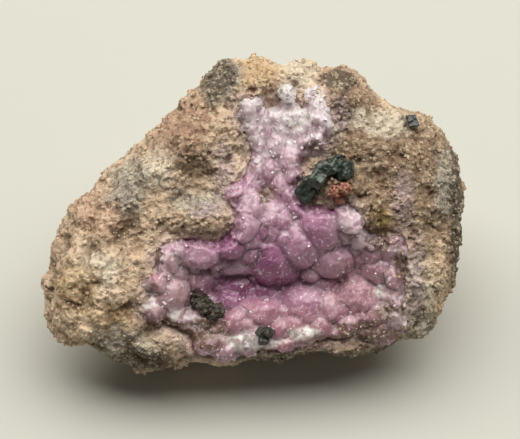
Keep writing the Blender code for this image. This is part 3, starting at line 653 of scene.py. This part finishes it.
def make_druse(crust, rng):
    """Tiny bright rhombs that grew last, most of them over the neck and the white patches; their near-white
    is partly painted glint.
    """
    deselect()
    bpy.ops.mesh.primitive_cube_add(size=1.4)
    rhomb = bpy.context.object
    enter("EDIT")
    bpy.ops.mesh.quads_convert_to_tris()
    enter("OBJECT")
    masters = [on_its_corner(rhomb)]
    points, ways = points_of(crust), normals_of(crust)
    neck = smooth_step(on_face(points)[:, 1], *DRUSE_NECK)
    odds = 0.10 + 0.6 * neck + 0.6 * held(crust, "calcite") + 0.3 * held(crust, "white")
    odds *= ways @ np.array(OUT) > 0.1
    chosen = rng.choice(len(points), DRUSE.count, replace=False, p=odds / odds.sum())
    girth = girths(DRUSE, rng)
    sizes = np.column_stack([girth, girth, girth * rng.uniform(*RHOMB_LENGTHS, DRUSE.count)]) * MM
    stance = stances(ways[chosen], masters, DRUSE, rng)
    sunk = points[chosen] - ways[chosen] * (girth * DRUSE_SUNK * MM)[:, None]
    druse, _ = scatter(masters, "bright_druse", sunk, sizes, stance)
    return druse


# The crust of crystals

def on_its_corner(cube):
    """Stands a cube on its corner, as a calcite rhomb grows."""
    cube.data.transform(Vector((1, 1, 1)).rotation_difference(Vector((0, 0, 1))).to_matrix().to_4x4())
    return cube


def rhomb_master():
    """A calcite rhomb stood on its corner, with worn edges."""
    deselect()
    bpy.ops.mesh.primitive_cube_add(size=1.46)
    rhomb = bpy.context.object
    enter("EDIT")
    bpy.ops.mesh.bevel(offset=0.10, segments=2, profile=0.5, affect="EDGES")
    bpy.ops.mesh.select_all(action="SELECT")
    enter("OBJECT")
    return on_its_corner(rhomb)


def faced_master(growth_faces):
    """A rounded crystal: a ball cut flat on its growth faces."""
    deselect()
    bpy.ops.mesh.primitive_ico_sphere_add(subdivisions=4, radius=1.0)
    crystal = bpy.context.object
    enter("EDIT")
    for turn, tilt, reach in growth_faces:
        turn, tilt = math.radians(turn), math.radians(tilt)
        facing = Vector((math.cos(turn) * math.sin(tilt), math.sin(turn) * math.sin(tilt), math.cos(tilt)))
        bpy.ops.mesh.select_all(action="SELECT")
        bpy.ops.mesh.bisect(plane_co=facing * reach, plane_no=facing, use_fill=True, clear_outer=True)
    enter("OBJECT")
    return crystal


def growth(place, way, half_sizes, turn):
    """Stands a master crystal, which reaches one unit, on its way out, at its size and place in the crust."""
    stand = Vector((0, 0, 1)).rotation_difference(way).to_matrix() @ Matrix.Rotation(turn, 3, "Z")
    shape = stand @ Matrix.Diagonal([s * MM for s in half_sizes])
    return Matrix.Translation(place) @ shape.to_4x4()


def nearest_crystals(points, grown):
    """How far each point lies from its crystal's middle, how far short of the next crystal, and its tones."""
    first, second = np.full(len(points), np.inf), np.full(len(points), np.inf)
    own, blended, weight = np.zeros((len(points), 2)), np.zeros((len(points), 2)), np.zeros(len(points))
    for stand, reach, tone in grown:
        back = np.array(stand.inverted())
        out = np.linalg.norm(points @ back[:3, :3].T + back[:3, 3], axis=1) / reach
        second = np.minimum(second, np.maximum(out, first))
        own[out < first] = tone
        first = np.minimum(first, out)
        near = np.exp(-TONE_FALLOFF * out)
        blended += np.outer(near, tone)
        weight += near
    return first, second - first, own * OWN_TONE + blended / weight[:, None] * (1 - OWN_TONE)


def crust_bed():
    """The layer that the crystals stand on: the rock's smoothed face inside the outline, made thick."""
    bed = welded_copy("matrix", "crust_bed")
    finish_with(bed, "REMESH", mode="VOXEL", voxel_size=BED_VOXEL)
    finish_with(bed, "SMOOTH", factor=0.5, iterations=BED_SMOOTHING)
    places = on_face(read(bed.data.polygons, "center"))
    turned_away = read(bed.data.polygons, "normal") @ np.array(OUT) < 0.1
    held_back = 1.4 * smooth_step(places[:, 1], *FRONT_LIP) - 0.2
    outside = depth_inside(places[:, :2], CRUST_OUTLINE) < held_back
    select_faces(bed, (places[:, 2] < BED_FLOOR) | turned_away | outside)
    bpy.ops.mesh.delete(type="FACE")
    enter("OBJECT")
    finish_with(bed, "SOLIDIFY", thickness=BED_THICKNESS, offset=1.0)
    return bed


def crystals_between(bed, rng):
    """Smaller crystals in the room between the named ones, finer and longer up the neck."""
    places = on_face(points_of(bed))
    taken = [(c.x, c.y, (c.wide + c.tall) / 2) for c in CRYSTALS]
    found = []
    for index in rng.integers(0, len(places), FILL_TRIES):
        x, y, _ = places[index]
        on_neck = y > NECK_START
        size = float(rng.uniform(*FILL_SIZES)) * (NECK_GIRTH if on_neck else 1.0)
        room = min(math.hypot(x - a, y - b) - FILL_SPACING * (size + c) for a, b, c in taken)
        if y < FILL_LOWEST or room < 0:
            continue
        near = min(CRYSTALS, key=lambda c: math.hypot(c.x - x, c.y - y))
        deep, white = np.clip([near.deep, near.white] + rng.normal(0, 0.10, 2), 0, 1)
        shape = str(rng.choice(list(FILL_SHAPES), p=list(FILL_SHAPES.values())))
        tall = size * rng.uniform(0.75, 1.1) * (NECK_LENGTH if on_neck else 1.0)
        lift = rng.uniform(-0.2, 0.25)
        turn = rng.normal(0, 14) if on_neck else rng.uniform(0, 360)
        found.append(Crystal(x, y, size, tall, lift, turn, shape, float(deep), float(white)))
        taken.append((x, y, size))
    return found


def grow_crystals(bed, rng):
    """All the crystals, stood on their bed, and what nearest_crystals needs to know of each."""
    ground = Ground(bed)
    masters = {
        "dome": [faced_master(faces) for faces in DOME_FACES],
        "plate": [faced_master(faces) for faces in PLATE_FACES],
        "rhomb": [rhomb_master()],
    }
    crystals, grown = [], []
    for i, c in enumerate(CRYSTALS + crystals_between(bed, rng)):
        place, _ = ground.under(c.x, c.y)
        if place is None:
            continue
        habit, lean = HABITS[c.shape], NAMED_LEAN if i < len(CRYSTALS) else FILL_LEAN
        way = (ground.way_out(c.x, c.y) + OUT * GROWS_OUT + UP * GROWS_UP).normalized()
        way = (way + Vector(rng.normal(0, lean, 3))).normalized()
        thick = (c.wide + c.tall) / 2 * habit.thick
        half_sizes = (c.wide * habit.stretch, c.tall * habit.stretch, thick)
        place = place + way * (c.lift - habit.sunk * thick) * MM
        stand = growth(place, way, half_sizes, math.radians(c.turn))
        master = masters[c.shape][i % len(masters[c.shape])]
        crystal = master.copy()
        crystal.data = master.data.copy()
        link(crystal)
        crystal.data.transform(stand)
        crystals.append(crystal)
        grown.append((stand, habit.reach, (c.deep + rng.normal(0, 0.05), c.white)))
    for master in sum(masters.values(), []):
        bpy.data.objects.remove(master)
    return crystals, grown


def sink_edge(crust, places):
    """Draws the crust's edge down into the rock, and gives each point's depth inside its ragged outline."""
    depth = depth_inside(places[:, :2], CRUST_OUTLINE) + raggedness(places, CRUST_EDGES)
    edge = 1 - smooth_step(depth, *EDGE_SINKS)
    put_points(crust, points_of(crust) - np.outer(edge * EDGE_SUNK * MM, OUT))
    return depth


def cut_seams(crust, places, neck, grown):
    """Cuts shallow grooves between crystals, deepest on their lower edges, and tints the crust by crystal,
    with painted shade in the seams, strongest on the lower edges.
    """
    points, ways = points_of(crust), normals_of(crust)
    bent = np.column_stack([wander(places, BEND_SIZE, seed) for seed in BEND_SEEDS]) * BEND_REACH * MM
    out, apart, tones = nearest_crystals(points + bent, grown)
    lower = 0.25 + 0.75 * smooth_step(-ways @ np.array(UP), *LOWER_EDGE)
    inner = (1 - smooth_step(out, *SEAMS_FADE)) * lower
    groove = (1 - smooth_step(apart, *GROOVE_EDGE)) * inner * (1 - 0.5 * neck)
    put_points(crust, points - ways * (groove * GROOVE_DEPTH * MM)[:, None])
    tint_crust(crust, tones, out, (1 - smooth_step(apart, *SEAM_EDGE)) * inner)
    return out


def make_crust(rng):
    """All the pink-violet crystals, grown together over the hollow, the right side and the neck."""
    bed = crust_bed()
    crystals, grown = grow_crystals(bed, rng)
    crust = joined([bed] + crystals, "crystal_crust")
    finish_with(crust, "REMESH", mode="VOXEL", voxel_size=CRUST_VOXEL)
    finish_with(crust, "SMOOTH", factor=0.5, iterations=1)
    places = on_face(points_of(crust))
    neck = smooth_step(places[:, 1], *NECK_FOOT)
    depth = sink_edge(crust, places)
    out = cut_seams(crust, places, neck, grown)
    between, edge = smooth_step(out, *BETWEEN_CRYSTALS), 1 - smooth_step(depth, *DRUSY_EDGE)
    weigh(crust, "drusy", np.maximum.reduce([neck * 0.5, between, edge]) * 0.85 + 0.15)
    for name, size, metric in [("growth steps", 0.9, "CHEBYCHEV"), ("druse", 0.55, "MANHATTAN")]:
        texture = pattern(name, "VORONOI", size, distance_metric=metric)
        finish_with(
            crust, "DISPLACE", texture=texture, strength=-STEP_DEPTH * MM, mid_level=0.3, vertex_group="drusy"
        )
    crust.vertex_groups.clear()
    return smooth_shaded(crust)


def hollowness(obj, steps):
    """How far each point lies in a seam, or out on an edge where it is negative, in millimetres."""
    softened = obj.copy()
    softened.data = obj.data.copy()
    link(softened)
    finish_with(softened, "SMOOTH", factor=0.5, iterations=steps)
    gap = ((points_of(softened) - points_of(obj)) * normals_of(obj)).sum(1) / MM
    bpy.data.objects.remove(softened)
    return gap


def tint_crust(crust, tones, out, seam):
    """Keeps on the mesh how deep, how white, how pink and how earthy the crust is at each point, and where it
    takes painted shade in seams and hollows and painted glints on edges.
    """
    places = on_face(points_of(crust))
    ragged = raggedness(places, MARK_EDGES)
    frost = smooth_step(places[:, 1], *FROST_RISES) * 0.9
    keep_attribute(crust, "deep", tones[:, 0] - 0.16 * smooth_step(out, 0.75, 1.0) + 0.08)
    keep_attribute(crust, "white", np.maximum(tones[:, 1], frost))
    keep_attribute(crust, "seam", seam * (1 - 0.7 * frost))
    keep_attribute(crust, "hollow", hollowness(crust, 8) * (1 - 0.5 * frost))
    for kind, marks in MARKS.items():
        keep_attribute(crust, kind, spread(places, marks, ragged))


# The small minerals

def mineral_piece(node, name, voxel, swell, steps):
    """A small mineral: the CAD solid with the stepped and pitted faces of the real one."""
    piece = welded_copy(node, name)
    finish_with(piece, "REMESH", mode="VOXEL", voxel_size=voxel * MM)
    finish_with(piece, "SMOOTH", factor=0.5, iterations=2)
    finish_with(piece, "DISPLACE", strength=swell * MM, mid_level=0.0)
    for size, strength, metric in steps:
        texture = pattern(name + " steps", "VORONOI", size, distance_metric=metric)
        finish_with(piece, "DISPLACE", texture=texture, strength=strength * MM, mid_level=0.25)
    return smooth_shaded(piece)


# Materials

def add(tree, kind, out, inputs=None, **settings):
    """Adds one shader node with its settings, values and links, and gives back one of its outputs."""
    made = tree.nodes.new("ShaderNode" + kind)
    for name, value in settings.items():
        setattr(made, name, value)
    for socket, value in (inputs or {}).items():
        if isinstance(value, bpy.types.NodeSocket):
            tree.links.new(value, made.inputs[socket])
        else:
            made.inputs[socket].default_value = value
    return made.outputs[out]


def new_material(name):
    material = bpy.data.materials.new(name)
    material.use_nodes = True
    tree = material.node_tree
    return material, tree, tree.nodes["Principled BSDF"]


def coated(tree, colour, layers):
    """Lays colours over one another: each has its share, how much of it counts, and its colour."""
    for share, strength, coat in layers:
        factor = add(tree, "Math", 0, {0: share, 1: strength}, operation="MULTIPLY", use_clamp=True)
        colour = add(tree, "Mix", 2, {0: factor, 6: colour, 7: coat}, data_type="RGBA")
    return colour


def host_rock():
    """Weathered dolomitic rock, broken and never polished: dull and earthy, with grit and without sheen."""
    material, tree, shader = new_material("weathered dolomite")
    where = add(tree, "TexCoord", "Object")
    broad, middle, fine = [
        add(tree, "MapRange", 0, {
            "Value": add(tree, "TexNoise", 0, {"Vector": where, "Scale": 1 / (size * MM), "Detail": 4.0}),
            "From Min": low, "From Max": 1 - low,
        })
        for size, low in [(5.0, 0.38), (1.6, 0.36), (0.45, 0.32)]
    ]
    kept = {
        name: add(tree, "Attribute", "Fac", attribute_name=name) for name in [*STAINS, "grain", "height"]
    }
    layers = [(broad, 1.0, srgb("D0B298")), (middle, 0.6, srgb("E2CAAC"))]
    # Each kind of stain has two tones, and a share of it counts
    for kind, hex_a, hex_b, share in [
        ("brown", "7E6652", "A48C74", 0.92),
        ("pale", "E0D2BA", "EADFCB", 0.8),
        ("ochre", "DDBE90", "C29C6E", 0.70),
        ("rust", "CBA58C", "A87E68", 0.60),
        ("grey", "948D82", "BEB7A8", 0.9),
        ("olive", "7A6A3A", "A98F55", 0.9),
        ("lilac", "B49AA3", "CCB8BC", 0.6),
        # The dark kind is also painted shade along the face's lower lip
        ("dark", "48423B", "6F665A", 0.88),
    ]:
        stained = add(tree, "Mix", 2, {0: fine, 6: srgb(hex_a), 7: srgb(hex_b)}, data_type="RGBA")
        layers.append((kept[kind], share, stained))
    # Real grit is mostly under 0.1 mm, too fine to show, so specks are drawn at 0.36 and crumble at 0.22 mm
    grit = add(tree, "TexVoronoi", "Color", {"Vector": where, "Scale": 1 / (0.36 * MM)})
    speck = add(tree, "SeparateColor", 0, {0: grit})
    for value, low, high, share, hex_colour in [
        (speck, 0.80, 0.86, 0.45, "E0D2B6"),
        (speck, 0.22, 0.14, 0.50, "5E4B38"),
        (kept["grain"], 0.6, 1.0, 0.5, "DECBA9"),
        (kept["grain"], 0.3, 0.0, 0.5, "6A543E"),
        # Painted shade where the relief sank the skin, in pits and creases, and painted light where it raised
        # it
        (kept["height"], -0.08, -0.7, 0.75, "5E4934"),
        (kept["height"], 0.15, 0.6, 0.45, "E6D4B6"),
    ]:
        chosen = add(tree, "MapRange", 0, {"Value": value, "From Min": low, "From Max": high})
        layers.append((chosen, share, srgb(hex_colour)))
    crumble = add(tree, "TexNoise", 0, {"Vector": where, "Scale": 1 / (0.22 * MM), "Detail": 5.0})
    bump = add(tree, "Bump", 0, {"Height": crumble, "Strength": 1.0, "Distance": 0.19 * MM})
    tree.links.new(coated(tree, srgb("E0C4A6"), layers), shader.inputs["Base Color"])
    tree.links.new(bump, shader.inputs["Normal"])
    shader.inputs["Roughness"].default_value = 0.93
    shader.inputs["Specular IOR Level"].default_value = 0.25
    return material


def cobaltoan_calcite():
    """Cobaltoan calcite, grown in a cavity: glassy and cloudy, so light sinks in and comes back pink."""
    material, tree, shader = new_material("cobaltoan calcite")
    where = add(tree, "TexCoord", "Object")
    kept = {
        name: add(tree, "Attribute", "Fac", attribute_name=name)
        for name in ("deep", "white", "seam", "hollow", "calcite", "earth", "pink")
    }
    along = add(tree, "Mapping", "Vector", {"Vector": where, "Scale": (1.5, 0.5, 0.5)})
    cloud, fibres, crystals, soil, glint_scatter, mottle = [
        add(tree, "MapRange", 0, {
            "Value": add(tree, "TexNoise", 0, {"Vector": way, "Scale": 1 / (size * MM), "Detail": 4.0}),
            "From Min": low, "From Max": high,
        })
        for way, size, low, high in [
            (where, 1.3, 0.35, 0.65), (along, 1.1, 0.28, 0.54), (where, 0.6, 0.30, 0.52),
            (where, 0.7, 0.32, 0.50), (where, 0.5, 0.50, 0.60), (where, 0.40, 0.48, 0.70),
        ]
    ]
    wobble = add(tree, "Math", 0, {0: cloud, 1: 0.3, 2: -0.15}, operation="MULTIPLY_ADD")
    deep = add(tree, "Math", 0, {0: kept["deep"], 1: wobble}, operation="ADD", use_clamp=True)
    violet = add(tree, "ValToRGB", 0, {0: deep})
    stops = violet.node.color_ramp.elements
    stops[0].position, stops[0].color = 0.0, srgb("CDB3B9")
    stops[1].position, stops[1].color = 1.0, srgb("904E7A")
    for position, hex_colour in [(0.35, "B58A9F"), (0.65, "A46C8E")]:
        stop = stops.new(position)
        stop.color = srgb(hex_colour)
    # Painted shade where the skin sinks into a seam or hollow, and painted glints where it stands out on an
    # edge
    hollow, edge = [
        add(tree, "MapRange", 0, {"Value": kept["hollow"], "From Min": low, "From Max": high})
        for low, high in [(0.006, 0.05), (-0.025, -0.08)]
    ]
    # Thin strokes along a network of cells, for painted glints; the same cells make ridges in the bump below
    steps = add(tree, "Mapping", "Vector", {"Vector": where, "Scale": (1.0, 0.7, 1.2)})
    steps = add(tree, "TexVoronoi", 0, {"Vector": steps, "Scale": 1 / (0.7 * MM)}, feature="DISTANCE_TO_EDGE")
    glint_strokes = add(tree, "MapRange", 0, {"Value": steps, "From Min": 0.06, "From Max": 0.02})
    layers = [(kept["pink"], 0.65, srgb("AA787C"))]
    for a, b, strength, hex_colour in [
        (mottle, 1.0, 0.22, "8A6470"),
        # Painted shade in the hollows and in the seams between crystals
        (hollow, 1.0, 0.45, "6E4458"),
        (kept["seam"], cloud, 0.70, "6A4256"),
        (kept["white"], fibres, 0.92, "F0E6E6"),
        # Painted glints on the edges that stand out and along the strokes
        (edge, glint_scatter, 0.85, "F4E8EA"),
        (glint_strokes, glint_scatter, 0.62, "F4E8EA"),
        (kept["calcite"], crystals, 0.95, "F0E8E2"),
        (kept["earth"], soil, 0.92, "765A4A"),
    ]:
        both = add(tree, "Math", 0, {0: a, 1: b}, operation="MULTIPLY", use_clamp=True)
        layers.append((both, strength, srgb(hex_colour)))
    # The real facets and the glints that the painted strokes stand for are finer than these, which are drawn
    # as coarse as they need to show
    facets = add(tree, "TexVoronoi", "Color", {"Vector": where, "Scale": 1 / (0.34 * MM)})
    tilt = add(tree, "VectorMath", 0, {0: facets, 1: (0.5, 0.5, 0.5)}, operation="SUBTRACT")
    tilt = add(tree, "VectorMath", 0, {0: tilt, "Scale": 0.22}, operation="SCALE")
    relief = add(tree, "TexNoise", 0, {"Vector": where, "Scale": 1 / (0.35 * MM), "Detail": 3.0})
    bump = add(tree, "Bump", 0, {"Height": relief, "Strength": 0.35, "Distance": 0.06 * MM})
    ridges = add(tree, "MapRange", 0, {"Value": steps, "From Min": 0.0, "From Max": 0.25})
    bump = add(tree, "Bump", 0, {"Height": ridges, "Normal": bump, "Strength": 0.35, "Distance": 0.06 * MM})
    facing = add(tree, "VectorMath", 0, {0: bump, 1: tilt}, operation="ADD")
    facing = add(tree, "VectorMath", 0, {0: facing}, operation="NORMALIZE")
    tree.links.new(coated(tree, violet, layers), shader.inputs["Base Color"])
    tree.links.new(facing, shader.inputs["Normal"])
    shader.inputs["Roughness"].default_value = 0.34
    shader.inputs["IOR"].default_value = 1.6
    shader.inputs["Subsurface Weight"].default_value = 0.85
    shader.inputs["Subsurface Radius"].default_value = (1.0, 0.75, 0.9)
    shader.inputs["Subsurface Scale"].default_value = 1.6 * MM
    return material


def clear_calcite():
    """Tiny rhombs of calcite that grew last, glassy and nearly white, the white partly a painted glint, so
    that each one glints.
    """
    material, _, shader = new_material("white calcite with painted glints")
    shader.inputs["Base Color"].default_value = srgb("E6D8DE")
    shader.inputs["Roughness"].default_value = 0.18
    shader.inputs["IOR"].default_value = 1.6
    return material


def dark_mineral(name, hex_a, hex_b, size, roughness, bump_depth):
    """A dark ore mineral with broken, uneven faces: two tones that change over a fraction of a millimetre."""
    material, tree, shader = new_material(name)
    where = add(tree, "TexCoord", "Object")
    tones = add(tree, "TexNoise", 0, {"Vector": where, "Scale": 1 / (size * MM), "Detail": 3.0})
    share = add(tree, "MapRange", 0, {"Value": tones, "From Min": 0.38, "From Max": 0.62})
    colour = add(tree, "Mix", 2, {0: share, 6: srgb(hex_a), 7: srgb(hex_b)}, data_type="RGBA")
    relief = add(tree, "TexNoise", 0, {"Vector": where, "Scale": 1 / (size * 0.6 * MM), "Detail": 3.0})
    bump = add(tree, "Bump", 0, {"Height": relief, "Strength": 0.8, "Distance": bump_depth * MM})
    tree.links.new(colour, shader.inputs["Base Color"])
    tree.links.new(bump, shader.inputs["Normal"])
    shader.inputs["Roughness"].default_value = roughness
    return material


def floor_material():
    """Matt white board under soft light: plain and pale."""
    material, _, shader = new_material("matt white board")
    shader.inputs["Base Color"].default_value = srgb("C8C8BF")
    shader.inputs["Roughness"].default_value = 0.9
    shader.inputs["Specular IOR Level"].default_value = 0.2
    return material


def dress(obj, material):
    obj.data.materials.clear()
    obj.data.materials.append(material)


# The camera and the light

def place_camera():
    """At the photograph's angle: square to the crystal face, which leans back from the viewer."""
    elevation = math.radians(ELEVATION)
    way = Vector((0, -math.cos(elevation), math.sin(elevation)))
    above = Vector((0, math.sin(elevation), math.cos(elevation)))
    target = FACE.translation + Vector((AIM_RIGHT, 0, 0)) - above * AIM_DOWN
    data = bpy.data.cameras.new("camera")
    data.lens, data.sensor_width, data.clip_start = 100, 36, 0.001
    camera = bpy.data.objects.new("camera", data)
    link(camera)
    distance = SEEN_WIDTH / (2 * math.tan(data.angle / 2))
    camera.location = target + way * distance
    camera.rotation_euler = (-way).to_track_quat("-Z", "Y").to_euler()
    bpy.context.scene.camera = camera


def soft_light(name, place, wide, deep, watts, hex_colour):
    """An oval softbox aimed at the specimen, with its place and size in metres and its power in watts."""
    data = bpy.data.lights.new(name, "AREA")
    data.shape, data.size, data.size_y, data.energy = "ELLIPSE", wide, deep, watts
    data.color = srgb(hex_colour)[:3]
    light = bpy.data.objects.new(name, data)
    link(light)
    light.location = place
    light.rotation_euler = (-Vector(place)).to_track_quat("-Z", "Y").to_euler()


def light_studio():
    soft_light("overhead softbox", (0.02, 0.13, 0.46), 1.0, 0.40, 4.5, "FFFDF8")
    soft_light("front fill", (-0.15, -0.32, 0.34), 0.50, 0.34, 0.08, "FFFBF4")
    world = bpy.data.worlds.new("room")
    bpy.context.scene.world = world
    world.use_nodes = True
    background = world.node_tree.nodes["Background"]
    background.inputs["Color"].default_value = srgb("FBF8F0")
    background.inputs["Strength"].default_value = 0.05
    bpy.context.scene.view_settings.view_transform = "Standard"


def lay_floor():
    deselect()
    bpy.ops.mesh.primitive_plane_add(size=2.0)
    floor = bpy.context.object
    floor.name = "floor"
    dress(floor, floor_material())


def hand_over(piece, material, node=None):
    """Dresses a piece, sets it to ride on the root, and hides the CAD node it stands for."""
    dress(piece, material)
    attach(piece, "root")
    if node:
        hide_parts(node)


def make_minerals():
    """The small minerals: how fine and how swollen each is, and its steps' sizes and depths, in mm."""
    stepped, clustered = [(0.9, -0.30, "CHEBYCHEV"), (0.40, -0.16, "CHEBYCHEV")], [(0.55, -0.5, "DISTANCE")]
    for node, name, voxel, swell, steps, slot, material in [
        ("malachite_crystals", "malachite_cluster", 0.09, 0.20, stepped, "malachite",
            dark_mineral("malachite", "1F2720", "475249", 0.5, 0.26, 0.06)),
        ("rust_red_grains", "rust_red_cluster", 0.08, 0.05, clustered, "iron_oxide",
            dark_mineral("hematite-stained calcite", "7A4030", "BE8A70", 0.35, 0.6, 0.08)),
        ("black_chip", "black_oxide_chip", 0.07, 0.03, stepped[1:], "black_oxide",
            dark_mineral("manganese oxide", "191A19", "35352F", 0.5, 0.25, 0.05)),
        ("dark_beads", "oxide_beads", 0.06, 0.16, stepped[1:], "dark_oxide",
            dark_mineral("dark oxide beads", "22221C", "4A4A3E", 0.3, 0.4, 0.06)),
        ("hollow_grains", "oxide_grains", 0.08, 0.20, clustered, "dark_oxide",
            dark_mineral("dark oxide grains", "26231F", "57503F", 0.3, 0.5, 0.1)),
    ]:
        hand_over(mineral_piece(node, name, voxel, swell, steps), material, node)


def main():
    rng = np.random.default_rng(7)
    stone = make_stone()
    grit = make_grit(stone, rng)
    crust = make_crust(rng)
    crumbs = make_crumbs(crust, rng)
    druse = make_druse(crust, rng)
    rock, calcite = host_rock(), cobaltoan_calcite()
    hand_over(stone, rock, "matrix")
    hand_over(grit, rock)
    hand_over(crumbs, rock)
    hand_over(druse, clear_calcite())
    hand_over(crust, calcite, "spherocobaltite_crust")
    make_minerals()
    lay_floor()
    place_camera()
    light_studio()


main()
